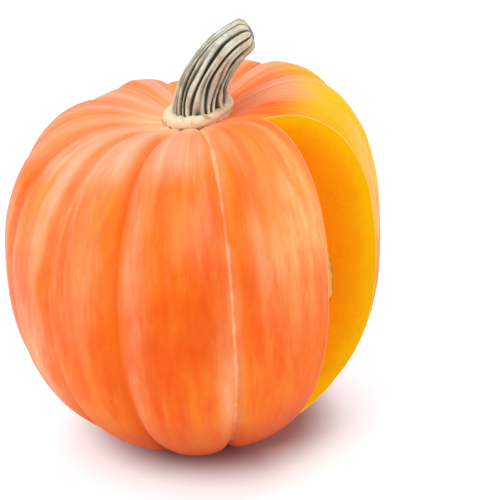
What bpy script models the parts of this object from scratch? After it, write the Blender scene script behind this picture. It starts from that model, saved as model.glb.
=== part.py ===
"""A ripe pumpkin with a wedge cut out of its side, resting on a small flat spot.

Metres, +Z up. The origin is on the resting spot, under the blossom end. The pumpkin's own frame has its
blossom end at the origin and its growing axis along Z, and it leans a little as it rests. Azimuths are in
degrees and turn from the front (-Y) towards the right (+X).
"""

import math

import bmesh
import bpy
from mathutils import Matrix, Vector

# Outer form: the widest circle, and how far the crown and the base reach from its level.
BODY_RADIUS = 0.125
CROWN_RISE = 0.1366
BASE_DROP = 0.1366
CROWN_TAPER = 1.09
CROWN_ROUNDNESS = 0.73
BASE_TAPER = 1.29
BASE_ROUNDNESS = 0.89

# The dimple that the stem grows from, and the shallow one at the blossom end.
DIMPLE_DEPTH = 0.044
DIMPLE_WIDTH = 0.062
BLOSSOM_DEPTH = 0.0089
BLOSSOM_WIDTH = 0.024

# How far the plan departs from a circle, as shares of the radius, and how the two ends slope.
PLAN_FORWARD = 0.033
PLAN_RIGHTWARD = -0.019
PLAN_LONG = 0.037
PLAN_SKEW = -0.059
CROWN_SLOPE_RIGHT = 0.073
BASE_SLOPE_RIGHT = 0.017
BASE_SLOPE_BACK = 0.047

# A low saddle in the crown behind the stem: its depth, its direction, how wide it is, and where it begins and ends.
SADDLE_DEPTH = 0.010
SADDLE_AZIMUTH = math.radians(190)
SADDLE_HALF_WIDTH = math.radians(22)
SADDLE_START = 0.022
SADDLE_FULL = 0.062

# Lean at rest, and how much of the base the resting spot flattens.
LEAN_BACK_TO_FRONT = math.radians(2.2)
LEAN_RIGHT_TO_LEFT = math.radians(-2.6)
REST_SINK = 0.0015

# Ribs: a groove at each azimuth, with broad ribs between narrow creases. Each rib stands out by its own swell,
# and they go round from the first groove towards the right.
GROOVE_AZIMUTHS = (10, 41, 69, 96, 120, 146, 171, 196, 221, 246, 271, 295, 318.5, 339.5)
RIB_SWELLS_MM = (0, -1, -1, 1, 3, 1, -3, 0, -3, 1, 1, 0, 0.5, 1)
GROOVE_DEPTH = 0.003
SHOULDER_DEEPENING = 0.9
RIB_SQUARENESS = 3.0
COLUMNS_PER_RIB = 6
COLUMN_EASING = 0.4
BODY_RINGS = 24

# The hollow in the flesh and the core that fills it.
HOLLOW_RADIUS = 0.090
HOLLOW_HALF_HEIGHT = 0.076
CORE_LEVEL = 0.120
CORE_COLUMNS = 32
CORE_RINGS = 16
TOUCHING_GAP = 0.0003

# The wedge that is cut straight down: its upright inner edge, and the directions of its two cut faces.
WEDGE_EDGE_RIGHT = 0.37 * HOLLOW_RADIUS
WEDGE_EDGE_FORWARD = 0.5244 * HOLLOW_RADIUS
NEAR_FACE_AZIMUTH = math.radians(41)
FAR_FACE_AZIMUTH = math.radians(104)
CUT_MARGIN = 0.05

# Stem: a furrowed stalk that bends to the right, on a flared collar let into the dimple.
COLLAR_RADIUS = 0.0235
COLLAR_HEIGHT = 0.0065
NECK_RADIUS = 0.0180
TIP_RADIUS = 0.0095
TIP_ROUNDING = 0.003
STEM_OFFSET_RIGHT = 0.004
STEM_LENGTH_UP = 0.0545
STEM_REACH_RIGHT = 0.0343
STEM_STRAIGHT = 0.016
STEM_SHOULDER_RIGHT = 0.010
STEM_SHOULDER_UP = 0.045
FURROW_COUNT = 10
FURROW_DEPTH = 0.0012
STEM_COLUMNS = 40
STEM_RINGS = 14
SEAT_TILT = math.radians(-11)
SEAT_LIFT = 0.002
SEAT_CLEARANCE = 0.0004

# Seeds: flat, one end pointed, half sunk in pockets of the two cut faces of the core.
SEED_LENGTH = 0.211 * HOLLOW_RADIUS
SEED_WIDTH = 0.1055 * HOLLOW_RADIUS
SEED_THICKNESS = 0.04 * HOLLOW_RADIUS
SEED_SINK = 0.0009
SEED_POINTEDNESS = 0.38
SEED_EDGE_MARGIN = 0.001
SEED_TURN = math.radians(12)
SEED_TIP = math.radians(22)
POCKET_MARGIN = 0.001
NEAR_FACE_SEEDS = (4, 2)
FAR_FACE_SEEDS = (4, 3, 2)
SEED_WANDER = 0.002
SEED_COLUMNS = 10
SEED_RINGS = 6

WIDEST_LEVEL = BASE_DROP - BLOSSOM_DEPTH
WEDGE_EDGE = Vector((WEDGE_EDGE_RIGHT, -WEDGE_EDGE_FORWARD, 0))


def collection_of(name):
    collection = bpy.data.collections.new(name)
    bpy.context.scene.collection.children.link(collection)
    return collection


def material_of(name, colour, roughness):
    material = bpy.data.materials.new(name)
    material.use_nodes = True
    shader = material.node_tree.nodes["Principled BSDF"]
    shader.inputs["Base Color"].default_value = (*colour, 1)
    shader.inputs["Roughness"].default_value = roughness
    shader.inputs["Metallic"].default_value = 0
    return material


def object_of(bm, name, collection):
    mesh = bpy.data.meshes.new(name)
    bm.to_mesh(mesh)
    bm.free()
    made = bpy.data.objects.new(name, mesh)
    collection.objects.link(made)
    return made


def shaped_sphere(name, collection, columns, rings, place):
    """A closed piece made from a sphere. place(around, polar) says where each of its points goes: around turns
    from the front towards the right, and polar runs from 0 at the top to pi at the bottom."""
    bm = bmesh.new()
    bmesh.ops.create_uvsphere(bm, u_segments=columns, v_segments=rings, radius=1)
    for vertex in bm.verts:
        around = math.atan2(vertex.co.x, -vertex.co.y)
        polar = math.acos(max(-1.0, min(1.0, vertex.co.z)))
        vertex.co = place(around, polar)
    made = object_of(bm, name, collection)
    made.data.shade_smooth()
    made.data.set_sharp_from_angle(angle=math.radians(50))
    return made


def make_cutter(made):
    made.hide_render = True
    made.display_type = "WIRE"
    return made


def cut(piece, name, cutter):
    modifier = piece.modifiers.new(name, "BOOLEAN")
    modifier.operation = "DIFFERENCE"
    modifier.solver = "EXACT"
    if isinstance(cutter, bpy.types.Collection):
        modifier.operand_type = "COLLECTION"
        modifier.collection = cutter
    else:
        modifier.object = cutter


def saddle_drop(azimuth, distance):
    """How far the saddle behind the stem lowers the crown."""
    reach = max(0.0, min(1.0, (distance - SADDLE_START) / (SADDLE_FULL - SADDLE_START)))
    turn = (azimuth - SADDLE_AZIMUTH) % math.tau
    turn = min(turn, math.tau - turn)
    return SADDLE_DEPTH * reach * reach * (3 - 2 * reach) * math.exp(-((turn / SADDLE_HALF_WIDTH) ** 2))


def outer_point(azimuth, polar, relief):
    """A point of the rind in the pumpkin's own frame. relief is how far it stands out, less than 0 in a groove."""
    side = max(0.0, math.sin(polar))
    rise = math.cos(polar)
    if rise > 0:
        round_distance = BODY_RADIUS * side**CROWN_TAPER
        dimple = DIMPLE_DEPTH * math.exp(-((round_distance / DIMPLE_WIDTH) ** 2))
        height = WIDEST_LEVEL + CROWN_RISE * rise**CROWN_ROUNDNESS - dimple
    else:
        round_distance = BODY_RADIUS * side**BASE_TAPER
        dimple = BLOSSOM_DEPTH * math.exp(-((round_distance / BLOSSOM_WIDTH) ** 2))
        height = WIDEST_LEVEL - BASE_DROP * (-rise) ** BASE_ROUNDNESS + dimple
    forward = math.cos(azimuth)
    rightward = math.sin(azimuth)
    swell = PLAN_FORWARD * forward + PLAN_RIGHTWARD * rightward
    swell += PLAN_LONG * math.cos(2 * azimuth) + PLAN_SKEW * math.sin(2 * azimuth)
    distance = round_distance * (1 + swell * round_distance / BODY_RADIUS)
    if rise > 0:
        height += rise * (CROWN_SLOPE_RIGHT * distance * rightward - saddle_drop(azimuth, distance))
    else:
        height -= rise * distance * (BASE_SLOPE_RIGHT * rightward - BASE_SLOPE_BACK * forward)
    lift = relief * side * (1 + SHOULDER_DEEPENING * abs(rise))
    distance += lift * side
    height += lift * rise
    return Vector((distance * rightward, -distance * forward, height))


def rib_at(around):
    """The azimuth of a column of the body's points, and how far it stands out from the plain outer form."""
    columns = COLUMNS_PER_RIB * len(GROOVE_AZIMUTHS)
    column = round(around / math.tau * columns) % columns
    rib, step = divmod(column, COLUMNS_PER_RIB)
    across = step / COLUMNS_PER_RIB
    across -= COLUMN_EASING * math.sin(math.tau * across) / math.tau
    start = GROOVE_AZIMUTHS[rib]
    end = GROOVE_AZIMUTHS[rib + 1] if rib + 1 < len(GROOVE_AZIMUTHS) else GROOVE_AZIMUTHS[0] + 360
    crease = abs(2 * across - 1) ** RIB_SQUARENESS
    relief = RIB_SWELLS_MM[rib] / 1000 * (1 - crease) - GROOVE_DEPTH * crease
    return math.radians(start + (end - start) * across), relief


def body_point(around, polar):
    """A point of the rind at rest, pressed flat where it would go below the surface it rests on."""
    azimuth, relief = rib_at(around)
    point = RESTING @ outer_point(azimuth, polar, relief)
    point.z = max(point.z, 0.0)
    return point


def core_shape(gap):
    """The place function of the hollow in the flesh, or of the core that fills it with a gap all round."""

    def place(around, polar):
        radius = (HOLLOW_RADIUS - gap) * math.sin(polar)
        level = (HOLLOW_HALF_HEIGHT - gap) * math.cos(polar)
        return core_middle() + Vector((radius * math.sin(around), -radius * math.cos(around), level))

    return place


def core_middle():
    return RESTING @ Vector((0, 0, CORE_LEVEL))


def face_direction(azimuth):
    return Vector((math.sin(azimuth), -math.cos(azimuth), 0))


def wedge_cutter(collection):
    """An upright prism on a triangle: the wedge's inner edge and one far corner along each cut face."""
    reach = 2 * BODY_RADIUS + CUT_MARGIN
    corners = (
        WEDGE_EDGE,
        WEDGE_EDGE + reach * face_direction(NEAR_FACE_AZIMUTH),
        WEDGE_EDGE + reach * face_direction(FAR_FACE_AZIMUTH),
    )
    bm = bmesh.new()
    floor = bm.faces.new([bm.verts.new(corner - Vector((0, 0, CUT_MARGIN))) for corner in corners])
    grown = bmesh.ops.extrude_face_region(bm, geom=[floor])
    top = [item for item in grown["geom"] if isinstance(item, bmesh.types.BMVert)]
    bmesh.ops.translate(bm, verts=top, vec=(0, 0, BASE_DROP + CROWN_RISE + 2 * CUT_MARGIN))
    bmesh.ops.recalc_face_normals(bm, faces=bm.faces)
    return make_cutter(object_of(bm, "wedge_cut", collection))


def seat_height():
    """Where the collar's foot would sit on the growing axis, above the blossom end."""
    return outer_point(0, 0, 0).z + SEAT_LIFT


def seat_cutter(collection):
    """A tilted round pocket in the dimple that takes the foot of the collar."""
    bm = bmesh.new()
    radius = COLLAR_RADIUS + SEAT_CLEARANCE
    lift = Matrix.Translation((0, 0, DIMPLE_DEPTH / 2))
    bmesh.ops.create_cone(
        bm,
        cap_ends=True,
        segments=STEM_COLUMNS,
        radius1=radius,
        radius2=radius,
        depth=DIMPLE_DEPTH,
        matrix=lift,
    )
    cutter = make_cutter(object_of(bm, "seat_cut", collection))
    place = Matrix.Translation((STEM_OFFSET_RIGHT, 0, seat_height()))
    cutter.matrix_local = place @ Matrix.Rotation(SEAT_TILT, 4, "Y")
    return cutter


def stem_path(share):
    """The middle of the stem and its direction, for a share of its length from 0 at the foot to 1 at the tip."""
    controls = (
        Vector((0, 0, 0)),
        Matrix.Rotation(SEAT_TILT, 3, "Y") @ Vector((0, 0, STEM_STRAIGHT)),
        Vector((STEM_SHOULDER_RIGHT, 0, STEM_SHOULDER_UP)),
        Vector((STEM_REACH_RIGHT, 0, STEM_LENGTH_UP)),
    )
    rest = 1 - share
    weights = (rest**3, 3 * rest**2 * share, 3 * rest * share**2, share**3)
    middle = sum((weight * point for weight, point in zip(weights, controls)), Vector())
    slopes = (rest**2, 2 * rest * share, share**2)
    steps = (controls[1] - controls[0], controls[2] - controls[1], controls[3] - controls[2])
    direction = sum((slope * step for slope, step in zip(slopes, steps)), Vector())
    return middle, direction.normalized()


def stem_point(around, polar):
    """A point of the stem: the first and last rings of the sphere become the rims of its flat ends."""
    ring = round(polar / math.pi * STEM_RINGS)
    inner = min(max(ring - 1, 0), STEM_RINGS - 2)
    share = (1 - inner / (STEM_RINGS - 2)) ** 1.6
    middle, direction = stem_path(share)
    collar = math.exp(-((middle.z / COLLAR_HEIGHT) ** 4))
    stalk = NECK_RADIUS + (TIP_RADIUS - NECK_RADIUS) * share
    furrow = FURROW_DEPTH * math.cos(FURROW_COUNT * around) * (1 - collar)
    radius = stalk + (COLLAR_RADIUS - stalk) * collar + furrow
    if inner == 0:
        radius -= TIP_ROUNDING
    if ring in (0, STEM_RINGS):
        radius = 0
    back = Vector((0, 1, 0))
    rightward = back.cross(direction)
    return middle + radius * (math.sin(around) * rightward - math.cos(around) * back)


def seed_shape(margin):
    """The place function of a seed, or of its pocket: long along Z, wide along X, thin along Y."""

    def place(around, polar):
        along = math.cos(polar)
        narrowing = 1 - SEED_POINTEDNESS * max(0.0, along)
        girth = math.sin(polar) * narrowing
        return Vector(
            (
                (SEED_WIDTH / 2 + margin) * girth * math.sin(around),
                -(SEED_THICKNESS / 2 + margin) * girth * math.cos(around),
                (SEED_LENGTH / 2 + margin) * along,
            )
        )

    return place


def core_half_height(spot):
    """Half the core's height at a spot of its plan."""
    distance = (spot - core_middle()).xy.length
    return HOLLOW_HALF_HEIGHT * math.sqrt(max(0.0, 1 - (distance / HOLLOW_RADIUS) ** 2))


def seed_places(azimuth, inward_side, column_counts):
    """Where the seeds of one cut face sit: upright columns side by side, each spread over the core's height."""
    upward = Vector((0, 0, 1))
    direction = face_direction(azimuth)
    across = upward.cross(direction)
    facing = Matrix((direction, across, upward)).transposed().to_4x4()
    places = []
    for column, count in enumerate(column_counts):
        outward = (column + 0.5) * (SEED_WIDTH + 2 * POCKET_MARGIN) + SEED_EDGE_MARGIN
        spot = WEDGE_EDGE + outward * direction
        far_side = spot + (SEED_WIDTH / 2 + POCKET_MARGIN) * direction
        highest = core_half_height(far_side) - SEED_LENGTH / 2 - POCKET_MARGIN - SEED_WANDER
        for row in range(count):
            level = highest * (2 * row / (count - 1) - 1)
            level += core_middle().z + SEED_WANDER * math.sin(3.1 * row + 1.3 * column)
            centre = spot + inward_side * SEED_SINK * across + level * upward
            turn = Matrix.Rotation(SEED_TURN * math.sin(2.4 * row + 1.9 * column + azimuth), 4, "Y")
            tip = Matrix.Rotation(SEED_TIP * math.cos(1.7 * row + 2.6 * column + azimuth), 4, "Z")
            places.append(Matrix.Translation(centre) @ facing @ turn @ tip)
    return places


for leftover in list(bpy.data.objects):
    bpy.data.objects.remove(leftover)

LEAN = Matrix.Rotation(LEAN_RIGHT_TO_LEFT, 4, "Y") @ Matrix.Rotation(LEAN_BACK_TO_FRONT, 4, "X")
RESTING = Matrix.Translation((0, 0, -REST_SINK)) @ LEAN

pieces = collection_of("pumpkin")
cutters = collection_of("cutters")
pockets = collection_of("seed_pockets")
growing_axis = bpy.data.objects.new("growing_axis", None)
growing_axis.matrix_world = RESTING
pieces.objects.link(growing_axis)

body = shaped_sphere(
    "pumpkin_body", pieces, COLUMNS_PER_RIB * len(GROOVE_AZIMUTHS), BODY_RINGS, body_point
)
hollow = make_cutter(shaped_sphere("hollow_cut", cutters, CORE_COLUMNS, CORE_RINGS, core_shape(0)))
wedge = wedge_cutter(cutters)
seat = seat_cutter(cutters)
cut(body, "hollow", hollow)
cut(body, "wedge", wedge)
cut(body, "stem_seat", seat)

core = shaped_sphere("seed_pulp", pieces, CORE_COLUMNS, CORE_RINGS, core_shape(TOUCHING_GAP))
cut(core, "wedge", wedge)
cut(core, "pockets", pockets)

stem = shaped_sphere("stem", pieces, STEM_COLUMNS, STEM_RINGS, stem_point)
stem.location = (STEM_OFFSET_RIGHT, 0, seat_height() + TOUCHING_GAP)

for made in (seat, stem):
    made.parent = growing_axis

body.data.materials.append(material_of("rind", (0.88, 0.22, 0.05), 0.45))
core.data.materials.append(material_of("pulp", (0.85, 0.26, 0.02), 0.55))
stem.data.materials.append(material_of("stalk", (0.42, 0.36, 0.28), 0.85))
seed_coat = material_of("seed_coat", (0.80, 0.66, 0.42), 0.5)

near_places = seed_places(NEAR_FACE_AZIMUTH, -1, NEAR_FACE_SEEDS)
far_places = seed_places(FAR_FACE_AZIMUTH, 1, FAR_FACE_SEEDS)
for number, place in enumerate(near_places + far_places, start=1):
    seed = shaped_sphere(f"seed_{number:02d}", pieces, SEED_COLUMNS, SEED_RINGS, seed_shape(0))
    seed.data.materials.append(seed_coat)
    pocket = shaped_sphere(
        f"pocket_{number:02d}", pockets, SEED_COLUMNS, SEED_RINGS, seed_shape(POCKET_MARGIN)
    )
    make_cutter(pocket)
    for made in (seed, pocket):
        made.matrix_world = place
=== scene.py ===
import math

import bpy
from mathutils import Matrix, Vector, noise
from mathutils.bvhtree import BVHTree


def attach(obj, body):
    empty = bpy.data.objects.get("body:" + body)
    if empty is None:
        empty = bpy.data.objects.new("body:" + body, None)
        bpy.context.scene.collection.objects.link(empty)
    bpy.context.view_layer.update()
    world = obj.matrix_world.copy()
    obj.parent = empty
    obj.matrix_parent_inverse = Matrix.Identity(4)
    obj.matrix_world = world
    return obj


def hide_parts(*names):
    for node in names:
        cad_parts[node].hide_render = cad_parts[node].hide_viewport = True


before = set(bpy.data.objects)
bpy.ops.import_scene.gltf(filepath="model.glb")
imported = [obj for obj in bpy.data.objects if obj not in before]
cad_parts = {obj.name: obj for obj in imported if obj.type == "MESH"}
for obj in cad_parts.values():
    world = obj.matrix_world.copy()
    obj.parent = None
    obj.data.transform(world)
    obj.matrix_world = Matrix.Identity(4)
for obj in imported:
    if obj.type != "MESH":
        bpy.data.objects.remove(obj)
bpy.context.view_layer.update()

# Rind and flesh. One grown piece: a waxy orange skin over thick golden flesh, pinched into fourteen ribs that
# run from the stalk down to the blossom end. A wedge is cut out of its front right side, down to the core.

BODY_RADIUS = 0.125
CROWN_RISE = 0.1366
BASE_DROP = 0.1366
CROWN_TAPER = 1.09
CROWN_ROUNDNESS = 0.73
BASE_TAPER = 1.29
BASE_ROUNDNESS = 0.89
DIMPLE_DEPTH = 0.044
DIMPLE_WIDTH = 0.062
BLOSSOM_DEPTH = 0.0089
BLOSSOM_WIDTH = 0.024
WIDEST_LEVEL = BASE_DROP - BLOSSOM_DEPTH
PLAN_FORWARD = 0.033
PLAN_RIGHTWARD = -0.019
PLAN_LONG = 0.037
PLAN_SKEW = -0.059
CROWN_SLOPE_RIGHT = 0.073
BASE_SLOPE_RIGHT = 0.017
BASE_SLOPE_BACK = 0.047
SADDLE_DEPTH = 0.010
SADDLE_AZIMUTH = math.radians(190)
SADDLE_HALF_WIDTH = math.radians(22)
SADDLE_START = 0.022
SADDLE_FULL = 0.062
REST_SINK = 0.0015
LEAN = Matrix.Rotation(math.radians(-2.6), 4, "Y") @ Matrix.Rotation(math.radians(2.2), 4, "X")
RESTING = Matrix.Translation((0, 0, -REST_SINK)) @ LEAN

GROOVE_AZIMUTHS = (10, 41, 69, 96, 120, 146, 171, 196, 221, 246, 271, 295, 318.5, 339.5)
RIB_SWELLS_MM = (0, -1, -1, 1, 3, 1, -3, 0, -3, 1, 1, 0, 0.5, 1)
GROOVE_SHARES = (1.1, 0.3, 0.3, 0.35, 0.9, 1.0, 1.0, 1.0, 1.0, 0.9, 0.8, 0.8, 0.9, 1.4)
GROOVE_PALENESS = (1.0, 0.0, 0.0, 0.0, 0.35, 0.35, 0.3, 0.35, 0.3, 0.3, 0.4, 0.3, 0.2, 0.1)
# How deep the painted shade in each valley is, and the side of its groove where it spreads: 1 is the right-hand
# side.
VALLEY_PAINTED_SHADES = (0.8, 0.0, 0.0, 0.0, 0.4, 0.5, 0.5, 0.5, 0.5, 0.5, 0.4, 0.35, 0.3, 1.2)
VALLEY_SHADED_SIDES = (1, 1, 1, 1, 1, 1, -1, -1, -1, -1, -1, -1, -1, -1)
# Waxy bloom patches, also painted highlights: how strong, their azimuth and level, and half their width and
# height.
BLOOM_AND_HIGHLIGHT_PATCHES = (
    (0.9, 24, 0.184, 7, 0.036),
    (2.0, 39, 0.192, 8, 0.038),
    (0.3, 31, 0.140, 6, 0.030),
    (0.4, 294, 0.168, 20, 0.048),
    (1.2, 312, 0.096, 6, 0.040),
    (0.9, 288, 0.110, 12, 0.040),
    (0.5, 312, 0.188, 6, 0.030),
    (0.5, 326, 0.170, 8, 0.045),
    (1.1, 343.5, 0.165, 3, 0.050),
    (1.0, 342.5, 0.090, 2.2, 0.045),
    (0.8, 5, 0.203, 4, 0.022),
    (0.3, 342, 0.218, 8, 0.014),
    (1.0, 318, 0.210, 9, 0.016),
    (1.8, 8.5, 0.088, 3, 0.046),
    (0.6, 200, 0.15, 30, 0.05),
    (0.5, 240, 0.10, 18, 0.05),
    (0.4, 150, 0.13, 20, 0.05),
)
# Ripest, reddest patches, given the same way.
RIPE_PATCHES = (
    (0.9, 349, 0.143, 10, 0.036),
    (1.1, 3, 0.142, 5.5, 0.036),
    (0.8, 16, 0.167, 5, 0.026),
    (0.4, 322, 0.125, 9, 0.030),
    (0.35, 354, 0.220, 8, 0.020),
    (0.15, 262, 0.090, 14, 0.040),
    (0.5, 180, 0.070, 20, 0.030),
)
PATCH_LIMIT = 1.6
VALLEY_SOFT_SIDE_MM = 4.5
VALLEY_SHARP_SIDE_MM = 1.8
YELLOW_SIDE_AZIMUTH = 98
YELLOW_SIDE_HALF_WIDTH = 34
GROOVE_DEPTH = 0.003
CREASE_DEPTH = 0.0011
CREASE_WIDTH = 0.0030
SHOULDER_DEEPENING = 0.9
RIB_SQUARENESS = 3.0
COLUMN_EASING = 0.5
COLUMNS_PER_RIB = 20
RIND_RINGS = 132
LUMP_HEIGHT = 0.0006
LUMPS_AROUND = 4.5
RIPPLE_HEIGHT = 0.00018
RIPPLES_AROUND = 17
UPRIGHT_CROWDING = 1.2
RIND_SHARP_ANGLE = 40

HOLLOW_RADIUS = 0.090
HOLLOW_HALF_HEIGHT = 0.076
CORE_LEVEL = 0.120
CORE_MIDDLE = RESTING @ Vector((0, 0, CORE_LEVEL))
HOLLOW_COLUMNS = 96
HOLLOW_RINGS = 64

STEM_OFFSET_RIGHT = 0.004
COLLAR_PINCH = 0.17
COLLAR_PINCH_AZIMUTH = math.radians(48)
COLLAR_PINCH_HALF_WIDTH = math.radians(36)

WEDGE_EDGE = Vector((0.37 * HOLLOW_RADIUS, -0.5244 * HOLLOW_RADIUS, 0))
NEAR_FACE_AZIMUTH = math.radians(41)
FAR_FACE_AZIMUTH = math.radians(104)
WEDGE_MIDDLE_AZIMUTH = (NEAR_FACE_AZIMUTH + FAR_FACE_AZIMUTH) / 2
WEDGE_ARM = 0.17
WEDGE_BOTTOM = -0.02
WEDGE_TOP = 0.27
WEDGE_SWEEP = 0.30
FLESH_STEP = 0.0026
FLESH_CELLS = 520.0
KNIFE_WANDER = 0.0005
KNIFE_WAVES_ALONG = 20
KNIFE_WAVES_UP = 55
FAR_FROM_CUT_MM = 10.0


def saddle_drop(azimuth, distance):
    """How far the saddle behind the stem lowers the crown."""
    reach = max(0.0, min(1.0, (distance - SADDLE_START) / (SADDLE_FULL - SADDLE_START)))
    turn = (azimuth - SADDLE_AZIMUTH) % math.tau
    turn = min(turn, math.tau - turn)
    return SADDLE_DEPTH * reach * reach * (3 - 2 * reach) * math.exp(-((turn / SADDLE_HALF_WIDTH) ** 2))


def outer_point(azimuth, polar, relief):
    """A point of the rind in the pumpkin's own frame. relief is how far it stands out, below 0 in grooves."""
    side = max(0.0, math.sin(polar))
    rise = math.cos(polar)
    if rise > 0:
        round_distance = BODY_RADIUS * side**CROWN_TAPER
        dimple = DIMPLE_DEPTH * math.exp(-((round_distance / DIMPLE_WIDTH) ** 2))
        height = WIDEST_LEVEL + CROWN_RISE * rise**CROWN_ROUNDNESS - dimple
    else:
        round_distance = BODY_RADIUS * side**BASE_TAPER
        dimple = BLOSSOM_DEPTH * math.exp(-((round_distance / BLOSSOM_WIDTH) ** 2))
        height = WIDEST_LEVEL - BASE_DROP * (-rise) ** BASE_ROUNDNESS + dimple
    forward = math.cos(azimuth)
    rightward = math.sin(azimuth)
    swell = PLAN_FORWARD * forward + PLAN_RIGHTWARD * rightward
    swell += PLAN_LONG * math.cos(2 * azimuth) + PLAN_SKEW * math.sin(2 * azimuth)
    distance = round_distance * (1 + swell * round_distance / BODY_RADIUS)
    if rise > 0:
        height += rise * (CROWN_SLOPE_RIGHT * distance * rightward - saddle_drop(azimuth, distance))
    else:
        height -= rise * distance * (BASE_SLOPE_RIGHT * rightward - BASE_SLOPE_BACK * forward)
    lift = relief * side * (1 + SHOULDER_DEEPENING * abs(rise))
    distance += lift * side
    height += lift * rise
    return Vector((distance * rightward, -distance * forward, height))


def groove_after(rib):
    return GROOVE_AZIMUTHS[rib + 1] if rib + 1 < len(GROOVE_AZIMUTHS) else GROOVE_AZIMUTHS[0] + 360


def rind_point(around, polar):
    """A point of the rind at rest: the plain form, its ribs, sharp creases and slow uneven lumps."""
    column = round(around / math.tau * COLUMNS_PER_RIB * len(GROOVE_AZIMUTHS))
    column %= COLUMNS_PER_RIB * len(GROOVE_AZIMUTHS)
    rib, step = divmod(column, COLUMNS_PER_RIB)
    across = step / COLUMNS_PER_RIB
    across -= COLUMN_EASING * math.sin(math.tau * across) / math.tau
    start = GROOVE_AZIMUTHS[rib]
    width = groove_after(rib) - start
    azimuth = math.radians(start + width * across)
    crease = abs(2 * across - 1) ** RIB_SQUARENESS
    nearer = rib if across < 0.5 else (rib + 1) % len(GROOVE_AZIMUTHS)
    groove_distance = min(across, 1 - across) * math.radians(width) * BODY_RADIUS * math.sin(polar)
    groove = GROOVE_DEPTH * crease + CREASE_DEPTH * math.exp(-((groove_distance / CREASE_WIDTH) ** 2))
    relief = RIB_SWELLS_MM[rib] / 1000 * (1 - crease) - GROOVE_SHARES[nearer] * groove
    facing = Vector((math.cos(azimuth), math.sin(azimuth), UPRIGHT_CROWDING * math.cos(polar)))
    relief += LUMP_HEIGHT * noise.noise(LUMPS_AROUND * facing)
    relief += RIPPLE_HEIGHT * noise.noise(RIPPLES_AROUND * facing)
    point = RESTING @ outer_point(azimuth, polar, relief)
    point.z = max(point.z, 0.0)
    return point


def patch_share(patches, degrees, level):
    """How strongly the patches of one kind cover a spot of the skin."""
    covered = 0.0
    for share, azimuth, middle, half_width, half_height in patches:
        sideways = ((degrees - azimuth + 180) % 360 - 180) / half_width
        upwards = (level - middle) / half_height
        covered += share * math.exp(-(sideways**2) - upwards**2)
    return min(PATCH_LIMIT, covered)


def collar_share(azimuth):
    """How wide the stem's collar is at an azimuth, as a share of its widest. The front right is pinched."""
    turn = (azimuth - COLLAR_PINCH_AZIMUTH + math.pi) % math.tau - math.pi
    return 1 - COLLAR_PINCH * math.exp(-((turn / COLLAR_PINCH_HALF_WIDTH) ** 2))


def placed_sphere(name, columns, rings, place):
    """A closed piece made from a ball, whose points go where place(around, polar) says."""
    bpy.ops.object.select_all(action="DESELECT")
    bpy.ops.mesh.primitive_uv_sphere_add(segments=columns, ring_count=rings, radius=1)
    made = bpy.context.active_object
    made.name = name
    made.data.name = name
    for vertex in made.data.vertices:
        around = math.atan2(vertex.co.x, -vertex.co.y)
        vertex.co = place(around, math.acos(max(-1.0, min(1.0, vertex.co.z))))
    return made


def face_direction(azimuth):
    return Vector((math.sin(azimuth), -math.cos(azimuth), 0))


def wedge_knife(name, step, bottom, top, arm, dent):
    """The space that the wedge leaves: an upright sheet folded along the wedge's inner edge, swept outwards.
    dent(point, azimuth, distance) says how far the cut face is dented at a point, into what is cut."""
    columns = 2 * round(arm / step)
    rows = round((top - bottom) / step)
    bpy.ops.object.select_all(action="DESELECT")
    bpy.ops.mesh.primitive_grid_add(x_subdivisions=columns, y_subdivisions=rows, size=2)
    knife = bpy.context.active_object
    knife.name = name
    for vertex in knife.data.vertices:
        distance = abs(vertex.co.x) * arm
        azimuth = NEAR_FACE_AZIMUTH if vertex.co.x < 0 else FAR_FACE_AZIMUTH
        level = bottom + (top - bottom) * (vertex.co.y + 1) / 2
        point = WEDGE_EDGE + distance * face_direction(azimuth) + level * Vector((0, 0, 1))
        into = face_direction(azimuth + (-1 if azimuth == NEAR_FACE_AZIMUTH else 1) * math.pi / 2)
        if distance < step / 2:
            into = -face_direction(WEDGE_MIDDLE_AZIMUTH)
        vertex.co = point + dent(point, azimuth, distance) * into
    bpy.ops.object.mode_set(mode="EDIT")
    bpy.ops.mesh.select_all(action="SELECT")
    outward = WEDGE_SWEEP * face_direction(WEDGE_MIDDLE_AZIMUTH)
    bpy.ops.mesh.extrude_region_move(TRANSFORM_OT_translate={"value": outward})
    bpy.ops.mesh.select_all(action="SELECT")
    bpy.ops.mesh.normals_make_consistent(inside=False)
    bpy.ops.mesh.faces_shade_smooth()
    bpy.ops.object.mode_set(mode="OBJECT")
    return knife


def cut_away(piece, cutter):
    """Cuts a piece for good. The new faces keep the cutter's material, and the cutter is thrown away."""
    bpy.ops.object.select_all(action="DESELECT")
    bpy.context.view_layer.objects.active = piece
    modifier = piece.modifiers.new("cut", "BOOLEAN")
    modifier.solver = "EXACT"
    modifier.material_mode = "TRANSFER"
    modifier.object = cutter
    bpy.ops.object.modifier_apply(modifier=modifier.name)
    bpy.data.objects.remove(cutter)


def smooth_finish(piece, sharp_angle):
    """Shades a piece smooth, but for edges sharper than an angle in degrees."""
    bpy.ops.object.select_all(action="DESELECT")
    piece.select_set(True)
    bpy.context.view_layer.objects.active = piece
    bpy.ops.object.shade_smooth_by_angle(angle=math.radians(sharp_angle))


def mark(piece, name, values, kind="FLOAT"):
    """Keeps one value or vector for each point of a piece, which its material reads by name."""
    attribute = piece.data.attributes.new(name, kind, "POINT")
    field = "value" if kind == "FLOAT" else "vector"
    flat = values if kind == "FLOAT" else [part for vector in values for part in vector]
    attribute.data.foreach_set(field, flat)


def colour(red, green, blue):
    """A colour from its screen values of 0 to 255, as a shader takes it."""
    steps = [value / 255 for value in (red, green, blue)]
    return (*(step / 12.92 if step <= 0.04045 else ((step + 0.055) / 1.055) ** 2.4 for step in steps), 1)


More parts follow.
